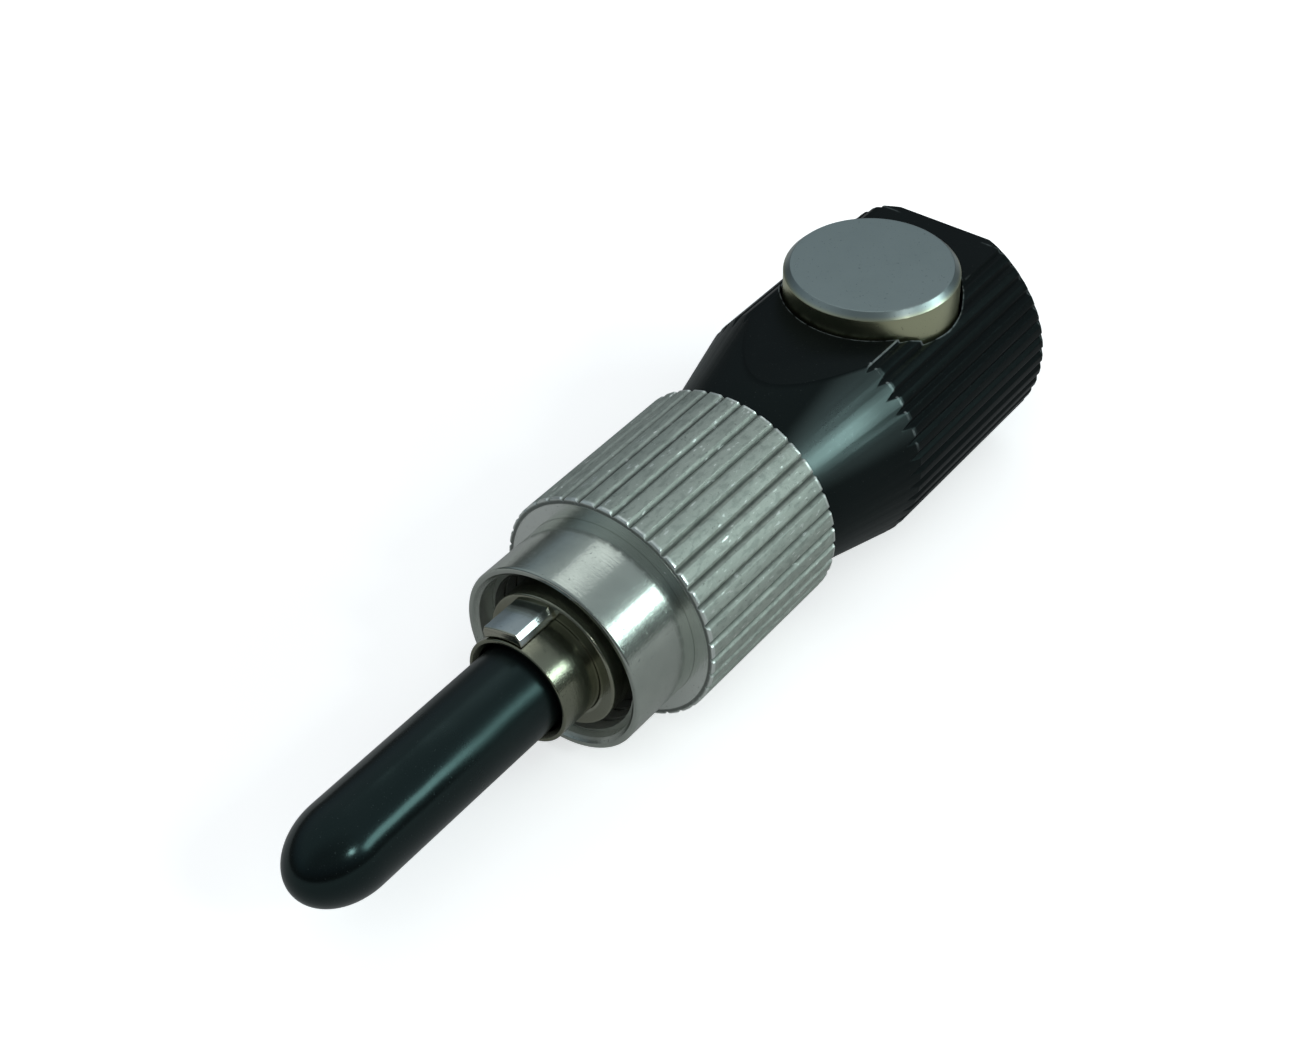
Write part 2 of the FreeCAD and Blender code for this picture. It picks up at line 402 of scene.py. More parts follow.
@dataclass(frozen=True)
class Knurl:
    """A straight knurl: flat-topped ridges with V grooves, along the plug's axis."""

    tip_r: float
    depth: float
    land: float
    ridges: int
    front_x: float
    end_x: float
    soft: float = 0.045
    tip_share: float = 0.25
    root_share: float = 0.35

    def columns(self) -> list[Column]:
        """Draw the section of one ridge.

        Returns:
            The (turn, radius) points across it, from groove to groove.
        """
        half_pitch = math.pi / self.ridges
        half_land = math.asin(self.land / 2 / self.tip_r)
        tip = Vector((self.tip_r * math.cos(half_land), self.tip_r * math.sin(half_land)))
        root_r = self.tip_r - self.depth
        root = Vector((root_r * math.cos(half_pitch), root_r * math.sin(half_pitch)))
        flank = (root - tip).normalized()
        crown = Vector((tip.x, 0))
        inward = (crown - tip).normalized()
        half = [
            crown,
            tip + inward * self.soft,
            tip + (inward + flank) * (self.soft * self.tip_share),
            tip + flank * self.soft,
            root - flank * self.soft,
            root * (1 + self.soft * self.root_share / root_r),
        ]
        up = [(math.atan2(point.y, point.x), point.length) for point in half]
        down = [(-turn, radius) for turn, radius in up[:0:-1]]
        return [(turn + QUARTER_TURN, radius) for turn, radius in down + up]

    def sunk(self, shares: Band) -> Band:
        """Give the radii at two shares of the depth below the tips."""
        return self.tip_r - shares[0] * self.depth, self.tip_r - shares[1] * self.depth


NUT_KNURL = Knurl(tip_r=5.4, depth=0.18, land=0.54, ridges=38, front_x=3.75, end_x=12.65)
BODY_KNURL = Knurl(tip_r=5.975, depth=0.18, land=0.36, ridges=48, front_x=18.5, end_x=29.65)


@dataclass
class Coating:
    """What a nickel finish has built up so far."""

    colour: Feed
    # Soiling in pits, and on the nut also painted shade in the grooves.
    dirt_and_shade: Shade
    dull: Feed = 0.0
    grain: Feed = 0.0
    metallic: Feed = 1.0


@dataclass(frozen=True)
class Nickel:
    """Nickel plating on turned brass, with lathe rings, a patchy shine and dark pits."""

    name: str
    colour: Colour
    tarnish: Colour
    roughness: float
    axis: Axis = Axis.PLUG
    relief: float = 0.006
    # Colour for the soiled pits and for the painted shade in the nut's grooves.
    dirt_and_shade: Colour = (0.03, 0.032, 0.028)
    fineness: float = 7.0
    patches: Weave = (0.55, 3.0)
    tarnished: Band = (0.4, 0.75)
    tarnish_share: float = 0.55
    pits: Weave = (9.0, 2.0)
    pitted: Band = (0.66, 0.74)
    pit_dirt: float = 0.35
    grain: Weave = (12.0, 2.0)

    def material(self) -> Material:
        """Build the material.

        Returns:
            The material.
        """
        paint = Paint(self.name)
        rings = paint.lathe_marks(self.axis, self.fineness)
        patches = paint.noise(*self.patches)
        pits = paint.noise(*self.pits).ramp(*self.pitted)
        share = patches.ramp(*self.tarnished) * self.tarnish_share
        coat = Coating(paint.layer(self.colour, (share, self.tarnish)), pits * self.pit_dirt)
        self.marks(paint, coat, patches)
        colour = paint.layer(coat.colour, (coat.dirt_and_shade, self.dirt_and_shade))
        roughness = self.roughness + coat.dull + 0.08 * patches + 0.06 * rings + 0.12 * coat.dirt_and_shade
        height = rings * 0.6 + pits * -0.5 + patches * 0.3 + coat.grain
        return paint.dress(colour, roughness, height, self.relief, metallic=coat.metallic)

    def marks(self, paint: Paint, coat: Coating, patches: Shade) -> None:
        """Dull the shine a little in patches, and add a fine grain."""
        coat.dull = patches * 0.02
        coat.grain = paint.noise(*self.grain) * 0.6


@dataclass(frozen=True)
class NoseNickel(Nickel):
    """Nickel on the plug's nose, with a darker olive nose that is partly stained and partly painted dark
    reflection, painted dark reflection on the ring's face, and a painted bluish reflection on the key.
    """

    nose_r: float = NOSE_R
    # Painted bluish reflection on the key.
    key: Colour = (0.58, 0.64, 0.66)
    # Olive colour for the nose, partly stained and partly painted dark reflection, and for the painted
    # dark reflection on the ring's face.
    stain_and_dark_reflection: Colour = (0.13, 0.14, 0.09)
    key_rise: Band = (0.06, 0.14)
    key_root_x: Band = (-0.05, -0.15)
    key_front_x: Band = (-2.08, -2.0)
    nose_rise: Band = (0.10, 0.04)
    nose_x: Band = (0.1, -0.1)
    ring_rise: Band = (0.1, 0.2)
    ring_edge: Band = (0.12, 0.05)

    def marks(self, paint: Paint, coat: Coating, patches: Shade) -> None:
        """Darken the nose, partly stained and partly painted dark reflection, darken the ring's face with
        painted dark reflection, and paint a bluish reflection on the key.

        Args:
            paint: The material's graph.
            coat: The finish so far.
            patches: The patchy noise.
        """
        super().marks(paint, coat, patches)
        rise = paint.radius(Axis.PLUG) - self.nose_r
        # The key gets a painted bluish reflection.
        key = rise.ramp(*self.key_rise)
        key = key * paint.x.ramp(*self.key_root_x) * paint.x.ramp(*self.key_front_x)
        # The nose darkens, partly stained and partly painted dark reflection; the ring's face gets painted
        # dark reflection.
        nose = rise.ramp(*self.nose_rise) * paint.x.ramp(*self.nose_x)
        ring = paint.x.near(0.0, *self.ring_edge) * rise.ramp(*self.ring_rise)
        coats = (key * 0.8, self.key), (nose * 0.65, self.stain_and_dark_reflection), (ring * 0.5, self.stain_and_dark_reflection)
        coat.colour = paint.layer(coat.colour, *coats)


@dataclass(frozen=True)
class KnurledNickel(Nickel):
    """Nickel on the nut, with grooves darkened partly by soil and partly by painted shade, matt ridges
    with dark specks and painted glint specks, painted glints on the ridges' ends, painted light on the
    step's face, and a softer bore.
    """

    knurl: Knurl = NUT_KNURL
    # Painted highlight colour for the glint specks, the ridges' ends and the step's face.
    painted_highlight: Colour = (0.86, 0.90, 0.86)
    speck: Colour = (0.18, 0.21, 0.19)
    groove_grime_and_shade: float = 0.6
    matt: float = 0.42
    grain: Weave = (6.0, 3.0)
    drawn_out: Triple = (0.4, 1.0, 1.0)
    speckle: Weave = (5.0, 3.0)
    dark_specks: Band = (0.5, 0.34)
    # Where the painted glint specks fall.
    light_specks: Band = (0.61, 0.72)
    glints: Band = (0.64, 0.72)
    ridge_sunk: Band = (1.6, 1.3)
    groove_sunk: Band = (0.3, 0.9)
    tip_sunk: Band = (0.6, 0.25)
    end_edge: Band = (0.22, 0.08)
    step_edge: Band = (0.06, 0.02)
    step_r: Band = (4.45, 4.49)
    bore_r: Band = (4.15, 4.05)

    def marks(self, paint: Paint, coat: Coating, patches: Shade) -> None:
        """Darken the grooves with soil and painted shade, speckle the ridges with dark specks and painted
        glints, and paint glints on their ends and light on the step's face.

        Args:
            paint: The material's graph.
            coat: The finish so far.
            patches: The patchy noise; not used here.
        """
        radius = paint.radius(Axis.PLUG)
        ridged = radius.ramp(*self.knurl.sunk(self.ridge_sunk))
        groove = radius.ramp(*self.knurl.sunk(self.groove_sunk)) * ridged
        values = {0: paint.place, 1: self.drawn_out}
        drawn = paint.node("ShaderNodeVectorMath", values, operation="MULTIPLY")
        speckle = paint.noise(*self.speckle, drawn)
        ends = (paint.x.near(self.knurl.front_x, *self.end_edge)
                + paint.x.near(self.knurl.end_x, *self.end_edge))
        # Painted glints on the ridges' ends.
        bright = ends * radius.ramp(*self.knurl.sunk(self.tip_sunk))
        # Painted light on the step's face.
        step = paint.x.near(self.knurl.front_x, *self.step_edge) * radius.ramp(*self.step_r)
        coat.colour = paint.layer(
            coat.colour,
            (speckle.ramp(*self.dark_specks) * ridged * 0.28, self.speck),
            (speckle.ramp(*self.light_specks) * ridged * 0.6, self.painted_highlight),
            (bright * 0.8, self.painted_highlight),
            (step * 0.9, self.painted_highlight),
        )
        # The grooves darken, partly soiled and partly painted shade.
        coat.dirt_and_shade = coat.dirt_and_shade.most(groove * self.groove_grime_and_shade)
        glint = speckle.ramp(*self.glints).most(bright)
        coat.dull = ridged * self.matt * (1 - 0.75 * glint)
        coat.grain = paint.noise(*self.grain) * (0.6 + 3.0 * ridged)
        coat.metallic = 1 - 0.5 * radius.ramp(*self.bore_r)


@dataclass(frozen=True)
class ButtonNickel(Nickel):
    """Satin nickel on the button, worn towards the brass below its chamfer."""

    axis: Axis = Axis.BUTTON
    relief: float = 0.002
    bare: Colour = (0.58, 0.58, 0.37)
    bare_z: Band = (6.13, 5.88)

    def marks(self, paint: Paint, coat: Coating, patches: Shade) -> None:
        """Warm the button's side."""
        super().marks(paint, coat, patches)
        coat.colour = paint.layer(coat.colour, (paint.z.ramp(*self.bare_z) * 0.9, self.bare))


@dataclass(frozen=True)
class Anodised:
    """Satin black anodising with bare metal along its sharp edges, partly worn and partly painted
    highlight, and a painted metallic sheen on the lit side of the cone.
    """

    name: str = "black_anodised"
    colour: Colour = (0.003, 0.0038, 0.004)
    # Bare metal colour, also used for the painted highlights along the edges.
    bare: Colour = (0.45, 0.50, 0.50)
    gleam: Colour = (0.65, 1.0, 0.98)
    # Colour of the painted metallic sheen on the cone.
    sheen: Colour = (0.072, 0.094, 0.092)
    shine: float = 0.09
    roughness: float = 0.3
    depth: float = 0.008
    grain: Weave = (9.0, 3.0)
    patches: Weave = (0.5, 3.0)
    dust: Weave = (13.0, 1.0)
    dusty: Band = (0.72, 0.80)
    dust_share: float = 0.25
    breaks: Weave = (2.3, 3.0)
    broken: Band = (0.36, 0.62)
    flat_y: float = -3.16
    flat_edge: Band = (0.055, 0.02)
    flat_edge_z: Band = (4.93, 4.98)
    flat_edge_x: Band = (27.0, 24.5)
    skin_z: Band = (FLAT_Z - 0.10, FLAT_Z - 0.04)
    skin_r: Band = (5.72, 5.78)
    rim_edge: Band = (0.06, 0.02)
    shoulder_x: float = BODY_KNURL.front_x
    shoulder_edge: Band = (0.09, 0.03)
    shoulder_r: Band = (5.86, 5.93)
    shoulder_z: Band = (1.0, 3.2)
    shoulder_y: Band = (0.0, -2.0)
    heel_x: float = 29.25
    heel_edge: Band = (0.07, 0.02)
    heel_r: Band = (5.45, 5.55)
    cone_x: float = 13.1
    cone_r: float = CONE_R
    cone_slope: float = 0.2523
    cone_skin: Band = (-0.05, -0.015)
    cone_z: Band = (FLAT_Z, FLAT_Z - 0.1)
    # Where the lit side of the cone is, which takes the painted sheen.
    lit_side_y: Band = (-2.1, -3.2)
    lit_side_z: Band = (1.7, 3.0)
    fade_x: Band = (15.5, 18.0)

    def material(self) -> Material:
        """Build the material.

        Returns:
            The material.
        """
        paint = Paint(self.name)
        radius = paint.radius(Axis.PLUG)
        grain = paint.noise(*self.grain)
        patches = paint.noise(*self.patches)
        dust = paint.noise(*self.dust).ramp(*self.dusty) * self.dust_share
        marks = self._worn_and_lit_edges(paint, radius)
        # Painted metallic sheen on the lit side of the cone.
        painted_sheen = self._painted_sheen_share(paint, radius)
        colour = paint.layer(self.colour, (marks.most(dust * 0.25), self.bare), (painted_sheen, self.sheen))
        roughness = self.roughness + 0.07 * grain + 0.06 * patches + 0.1 * dust - 0.08 * painted_sheen
        height = (grain * 0.5 + patches) * (1 - 0.85 * painted_sheen)
        metallic = marks.most(painted_sheen)
        return paint.dress(colour, roughness, height, self.depth, metallic, self.shine, self.gleam)

    def _worn_and_lit_edges(self, paint: Paint, radius: Shade) -> Shade:
        """Give bare metal in broken lines along the edges, partly worn and partly painted highlight; on
        the knurl's ends it is painted highlight.

        Args:
            paint: The material's graph.
            radius: The distance from the plug's axis.

        Returns:
            The share of bare metal and painted highlight.
        """
        # The flat's edge on the lit side, the pocket's rim and the heel: partly worn, partly painted
        # highlight.
        flat = paint.y.near(self.flat_y, *self.flat_edge) * paint.z.ramp(*self.flat_edge_z)
        flat = flat * paint.x.ramp(*self.flat_edge_x)
        skin = paint.z.ramp(*self.skin_z).most(radius.ramp(*self.skin_r))
        rim = paint.radius(Axis.BUTTON).near(POCKET_R, *self.rim_edge) * skin
        # Painted highlight on the knurl's pointed ends on the lit side.
        shoulder = paint.x.near(self.shoulder_x, *self.shoulder_edge) * radius.ramp(*self.shoulder_r)
        shoulder = shoulder * paint.z.ramp(*self.shoulder_z) * paint.y.ramp(*self.shoulder_y)
        heel = paint.x.near(self.heel_x, *self.heel_edge) * radius.ramp(*self.heel_r)
        lines = (flat * 0.5).most(rim * 0.4).most(shoulder * 0.6).most(heel * 0.15)
        return lines * paint.noise(*self.breaks).ramp(*self.broken)

    def _painted_sheen_share(self, paint: Paint, radius: Shade) -> Shade:
        """Give the painted sheen on the lit side of the cone, up to the knurl's pointed ends.

        Args:
            paint: The material's graph.
            radius: The distance from the plug's axis.

        Returns:
            The share of painted sheen.
        """
        cone_r = self.cone_r + (paint.x - self.cone_x) * self.cone_slope
        cone = (radius - cone_r).ramp(*self.cone_skin) * paint.z.ramp(*self.cone_z)
        lit_side = paint.y.ramp(*self.lit_side_y) * paint.z.ramp(*self.lit_side_z)
        return cone * (0.05 + 0.95 * lit_side) * (1 - 0.35 * paint.x.ramp(*self.fade_x))


@dataclass(frozen=True)
class Zirconia:
    """Polished cream-white ceramic with faint cloudy depth."""

    name: str = "zirconia_ceramic"
    colour: Colour = (0.86, 0.85, 0.81)
    cloud: Colour = (0.80, 0.78, 0.72)
    clouds: Weave = (0.9, 3.0)
    fineness: float = 9.0
    roughness: float = 0.10
    depth: float = 0.001
    shine: float = 0.6

    def material(self) -> Material:
        """Build the material.

        Returns:
            The material.
        """
        paint = Paint(self.name)
        clouds = paint.noise(*self.clouds)
        rings = paint.lathe_marks(Axis.PLUG, self.fineness)
        colour = paint.layer(self.colour, (clouds * 0.6, self.cloud))
        roughness = self.roughness + 0.06 * clouds + 0.04 * rings
        return paint.dress(colour, roughness, rings, self.depth, shine=self.shine)


@dataclass(frozen=True)
class Steel:
    """Bright drawn steel with fine scratches."""

    name: str = "drawn_steel"
    colour: Colour = (0.56, 0.56, 0.55)
    dull: Colour = (0.38, 0.38, 0.37)
    scratches: Weave = (12.0, 4.0)
    patches: Weave = (0.8, 2.0)
    roughness: float = 0.22
    depth: float = 0.003

    def material(self) -> Material:
        """Build the material.

        Returns:
            The material.
        """
        paint = Paint(self.name)
        scratches = paint.noise(*self.scratches)
        colour = paint.layer(self.colour, (paint.noise(*self.patches) * 0.7, self.dull))
        return paint.dress(colour, self.roughness + 0.15 * scratches, scratches, self.depth, metallic=1.0)


def rounded(corners: Sequence[Corner], steps: int = 4) -> list[Point]:
    """Round the corners of an outline.

    Args:
        corners: Two coordinates and a corner radius each, in millimetres; 0 keeps the corner sharp.
        steps: Straight pieces in each rounded corner.

    Returns:
        The outline with arcs, and a point beside each arc's ends that keeps the runs straight.
    """
    points: list[Point] = []
    for index, (first, second, radius) in enumerate(corners):
        if radius <= 0:
            points.append((first, second))
            continue
        here = Vector((first, second))
        back = Vector(corners[index - 1][:2]) - here
        ahead = Vector(corners[(index + 1) % len(corners)][:2]) - here
        half = back.angle(ahead) / 2
        reach = min(radius / math.tan(half), CORNER_SHARE * back.length, CORNER_SHARE * ahead.length)
        hold = reach * CORNER_HOLD
        back.normalize()
        ahead.normalize()
        centre = here + (back + ahead).normalized() * (reach / math.cos(half))
        arm = here + back * reach - centre
        sweep = math.pi - 2 * half
        if arm.cross(here + ahead * reach - centre) < 0:
            sweep = -sweep
        points.append(tuple(here + back * hold))
        for step in range(steps + 1):
            points.append(tuple(centre + Matrix.Rotation(sweep * step / steps, 2) @ arm))
        points.append(tuple(here + ahead * hold))
    return points


def turned(outline: Sequence[Point], axis: Axis) -> Mesh:
    """Turn an outline round an axis.

    Args:
        outline: Points of (distance along the axis, radius), in millimetres. One that starts on the
            axis ends on it too, and any other is a loop.
        axis: The axis to turn about.

    Returns:
        A closed mesh in millimetres.
    """
    shape = bmesh.new()
    rings = []
    for along, radius in outline:
        sides = TURNED_SIDES if radius > TINY else 1
        turns = [FULL_TURN * side / sides for side in range(sides)]
        rings.append([shape.verts.new(axis.place(along, radius, turn)) for turn in turns])
    following = rings[1:] + (rings[:1] if outline[0][1] > TINY else [])
    for near, far in zip(rings, following):
        for side in range(TURNED_SIDES):
            corners = [near[side % len(near)], near[(side + 1) % len(near)]]
            corners += [far[(side + 1) % len(far)], far[side % len(far)]]
            corners = list(dict.fromkeys(corners))
            if len(corners) > 2:
                shape.faces.new(corners)
    return as_mesh(shape)


def as_mesh(shape: bmesh.types.BMesh, outward: bool = True) -> Mesh:
    """Hand a shape over as a mesh.

    Args:
        shape: The shape, which is freed.
        outward: Whether its faces are turned outwards first, which needs a closed shape.

    Returns:
        The mesh.
    """
    if outward:
        bmesh.ops.recalc_face_normals(shape, faces=shape.faces)
    mesh = bpy.data.meshes.new("shape")
    shape.to_mesh(mesh)
    shape.free()
    return mesh


def as_shape(mesh: Mesh) -> bmesh.types.BMesh:
    """Open a mesh for work on its faces.

    Args:
        mesh: The mesh.

    Returns:
        The shape.
    """
    shape = bmesh.new()
    shape.from_mesh(mesh)
    return shape


def block(centre: Sequence[float], size: Sequence[float]) -> Mesh:
    """Build a box.

    Args:
        centre: Its centre, in millimetres.
        size: Its three sides, in millimetres.

    Returns:
        The box's mesh.
    """
    shape = bmesh.new()
    bmesh.ops.create_cube(shape, matrix=Matrix.Translation(centre) @ Matrix.Diagonal((*size, 1)))
    return as_mesh(shape)


def sector(columns: Sequence[Column], outline_at: Callable[[float], list[Point]]) -> Mesh:
    """Build one ridge's slice of a knurled piece.

    Args:
        columns: The (turn, radius) points across the ridge.
        outline_at: Gives the closed outline of the piece for a column's radius.

    Returns:
        The slice, open at both sides, in millimetres.
    """
    shape = bmesh.new()
    strips = []
    for turn, radius in columns:
        outline = outline_at(radius)
        strips.append([shape.verts.new(Axis.PLUG.place(along, r, turn)) for along, r in outline])
    rows = len(strips[0])
    for near, far in zip(strips, strips[1:]):
        for row in range(rows):
            following = (row + 1) % rows
            shape.faces.new([near[row], near[following], far[following], far[row]])
    return as_mesh(shape, outward=False)


def placed(name: str, data: ID) -> Object:
    """Put an object in the scene.

    Args:
        name: The object's name.
        data: Its mesh, lamp or camera.

    Returns:
        The object.
    """
    thing = bpy.data.objects.new(name, data)
    bpy.context.scene.collection.objects.link(thing)
    return thing


def settled(thing: Object) -> Mesh:
    """Turn an object with modifiers into a plain mesh.

    Args:
        thing: The object, which is removed.

    Returns:
        The mesh that its modifiers make.
    """
    bpy.context.view_layer.update()
    depsgraph = bpy.context.evaluated_depsgraph_get()
    mesh = bpy.data.meshes.new_from_object(thing.evaluated_get(depsgraph), depsgraph=depsgraph)
    thing.modifiers.clear()
    bpy.data.objects.remove(thing)
    return mesh


def joined(mesh: Mesh, tools: Sequence[Mesh], joinery: Joinery) -> Mesh:
    """Cut or weld solids.

    Args:
        mesh: The solid to work on.
        tools: The solids that cut it or are welded to it.
        joinery: Which of the two.

    Returns:
        The resulting mesh.
    """
    work = placed("work", mesh)
    helpers = [placed("work", tool) for tool in tools]
    for helper in helpers:
        modifier = work.modifiers.new("join", "BOOLEAN")
        modifier.operation = joinery.value
        modifier.solver = "EXACT"
        modifier.object = helper
    result = settled(work)
    for helper in helpers:
        bpy.data.objects.remove(helper)
    return result


class Recipe:
    """Geometry node trees for what repeats: ridges round the axis, and coils."""

    WELD_WITHIN = 1e-4

    def __init__(self) -> None:
        """Build the two trees."""
        self.ring = self._ring_tree()
        self.coil = self._coil_tree()

    @staticmethod
    def _start(name: str, inputs: dict[str, str]) -> tuple[Graph, Any]:
        """Start a tree.

        Args:
            name: The tree's name.
            inputs: Kind of socket by input name.

        Returns:
            The graph, and its inputs by name.
        """
        tree = bpy.data.node_groups.new(name, "GeometryNodeTree")
        for label, kind in inputs.items():
            tree.interface.new_socket(label, in_out="INPUT", socket_type=f"NodeSocket{kind}")
        tree.interface.new_socket("Shape", in_out="OUTPUT", socket_type="NodeSocketGeometry")
        graph = Graph(tree)
        return graph, graph.node("NodeGroupInput").outputs

    def _end(self, graph: Graph, shape: Node, finish: NodeSocket) -> NodeTree:
        """Close a tree with real geometry in its finish.

        Args:
            graph: The tree's graph.
            shape: The node that gives the geometry.
            finish: The input with the material.

        Returns:
            The tree.
        """
        real = graph.node("GeometryNodeRealizeInstances", {"Geometry": shape})
        values = {"Geometry": real, "Distance": self.WELD_WITHIN}
        weld = graph.node("GeometryNodeMergeByDistance", values)
        dressed = graph.node("GeometryNodeSetMaterial", {"Geometry": weld, "Material": finish})
        graph.node("NodeGroupOutput", {0: dressed})
        return graph.tree

    def _ring_tree(self) -> NodeTree:
        """Repeat a slice round the plug's axis.

        Returns:
            The tree.
        """
        inputs = {"Slice": "Geometry", "Ridges": "Int", "Finish": "Material"}
        graph, given = self._start("ring_of_ridges", inputs)
        ridges = Shade(graph, given["Ridges"])
        turn = graph.read(graph.node("GeometryNodeInputIndex")) * (FULL_TURN / ridges)
        euler = graph.node("ShaderNodeCombineXYZ", {"X": turn})
        rotation = graph.node("FunctionNodeEulerToRotation", {0: euler})
        points = graph.node("GeometryNodePoints", {"Count": ridges})
        values = {"Points": points, "Instance": given["Slice"], "Rotation": rotation}
        return self._end(graph, graph.node("GeometryNodeInstanceOnPoints", values), given["Finish"])

    def _coil_tree(self) -> NodeTree:
        """Draw a wire of any section along a helix that stands on the XY plane.

        Returns:
            The tree.
        """
        inputs = {"Base": "Geometry", "Turns": "Float", "Radius": "Float", "Climb": "Float",
                  "Wire": "Float", "Sides": "Int", "Section turn": "Float", "Steps": "Int",
                  "Finish": "Material"}
        graph, given = self._start("coil_of_wire", inputs)
        values = {"Resolution": given["Steps"], "Rotations": given["Turns"], "Height": given["Climb"],
                  "Start Radius": given["Radius"], "End Radius": given["Radius"]}
        helix = graph.node("GeometryNodeCurveSpiral", values)
        upright = graph.node("GeometryNodeSetCurveNormal", {"Curve": helix}, mode="Z_UP")
        values = {"Resolution": given["Sides"], "Radius": given["Wire"]}
        section = graph.node("GeometryNodeCurvePrimitiveCircle", values)
        spin = graph.node("ShaderNodeCombineXYZ", {"Z": given["Section turn"]})
        section = graph.node("GeometryNodeTransform", {"Geometry": section, "Rotation": spin})
        values = {"Curve": upright, "Profile Curve": section, "Fill Caps": True}
        return self._end(graph, graph.node("GeometryNodeCurveToMesh", values), given["Finish"])

    @staticmethod
    def run(tree: NodeTree, base: Mesh, values: dict[str, Any]) -> Mesh:
        """Run a tree on a mesh.

        Args:
            tree: The node tree.
            base: The mesh that it starts from.
            values: Input values by name.

        Returns:
            The plain mesh that it makes.
        """
        work = placed("work", base)
        modifier = work.modifiers.new("recipe", "NODES")
        modifier.node_group = tree
        for item in tree.interface.items_tree:
            if item.in_out == "INPUT" and item.name in values:
                modifier[item.identifier] = values[item.name]
        return settled(work)


@dataclass
class Workshop:
    """Holds the finishes and recipes, and hands over finished pieces."""

    recipe: Recipe
    finishes: dict[Slot, Material]
    coil_steps: int = 48

    def hand_over(self, name: str, mesh: Mesh, slot: Slot, body: Body, *nodes: str) -> Object:
        """Finish a piece and put it on its body.

        Args:
            name: The piece's name.
            mesh: Its mesh, in millimetres.
            slot: The finish that it takes.
            body: The body that it rides on.
            nodes: The solids that it stands for.

        Returns:
            The piece's object.
        """
        mesh.name = name
        mesh.transform(Matrix.Scale(MM, 4))
        mesh.materials.clear()
        mesh.materials.append(self.finishes[slot])
        mesh.polygons.foreach_set("material_index", [0] * len(mesh.polygons))
        mesh.polygons.foreach_set("use_smooth", [True] * len(mesh.polygons))
        mesh.set_sharp_from_angle(angle=SMOOTH_BELOW)
        piece = placed(name, mesh)
        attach(piece, body.value)
        if nodes:
            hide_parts(*nodes)
        LOG.info("%s: %d faces on %s", name, len(mesh.polygons), body.value)
        return piece

    def dress_node(self, node: str, slot: Slot) -> None:
        """Give a carried-over solid its finish.

        Args:
            node: The solid's name.
            slot: The finish that it takes.
        """
        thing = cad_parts[node]
        thing.data.materials.clear()
        thing.data.materials.append(self.finishes[slot])
        LOG.info("%s: dressed", node)

    def knurled(self, knurl: Knurl, outline_at: Callable[[float], list[Point]], slot: Slot) -> Mesh:
        """Build a knurled piece.

        Args:
            knurl: Its knurl.
            outline_at: Gives the piece's closed outline where its outside has a radius.
            slot: The finish that it takes.

        Returns:
            The piece's mesh, in millimetres.
        """
        values = {"Ridges": knurl.ridges, "Finish": self.finishes[slot]}
        ring = self.recipe.run(self.recipe.ring, sector(knurl.columns(), outline_at), values)
        return as_mesh(as_shape(ring))

    def coil(self, radius: float, length: float, turns: float, wire: float, slot: Slot,
             sides: int = 16, section_turn: float = 0.0) -> Mesh:
        """Wind a coil that stands on the XY plane.

        Args:
            radius: Middle radius of the coil.
            length: Height over the wire's middle.
            turns: Number of turns.
            wire: Wire radius.
            slot: The finish that it takes.
            sides: Sides of the wire's section.
            section_turn: Turn of that section, in radians.

        Returns:
            The coil's mesh, in millimetres.
        """
        values = {"Turns": turns, "Radius": radius, "Climb": length, "Wire": wire, "Sides": sides,
                  "Section turn": section_turn, "Steps": self.coil_steps, "Finish": self.finishes[slot]}
        return self.recipe.run(self.recipe.coil, bpy.data.meshes.new("seed"), values)


@dataclass
class DustCap:
    """Soft closed tube with a rounded end, pushed over the ferrule into the nose."""

    shop: Workshop
    tip_x: float = -14.95
    mouth_x: float = 1.55
    radius: float = 2.025
    bore_r: float = 1.3
    end_wall: float = 2.6
    dome: float = 2.85
    dome_steps: int = 24
    corner_steps: int = 8

    def build(self) -> None:
        """Build the cap."""
        deep_x = self.tip_x + self.end_wall
        wall = [
            (self.tip_x + self.dome, self.radius, 0),
            (self.mouth_x, self.radius, 0.2),
            (self.mouth_x, self.bore_r, 0.12),
            (deep_x, self.bore_r, 0.5),
            (deep_x, 0.0, 0),
        ]
        shell = turned(self._dome() + rounded(wall, self.corner_steps), Axis.PLUG)
        self.shop.hand_over("dust_cap_shell", shell, Slot.VINYL, Body.CAP, "dust_cap")

    def _dome(self) -> list[Point]:
        """Draw the oval end.

        Returns:
            Its points, from the tip to just before the straight wall.
        """
        points = []
        for step in range(self.dome_steps):
            turn = QUARTER_TURN * step / self.dome_steps
            points.append((self.tip_x + self.dome * (1 - math.cos(turn)), self.radius * math.sin(turn)))
        return points


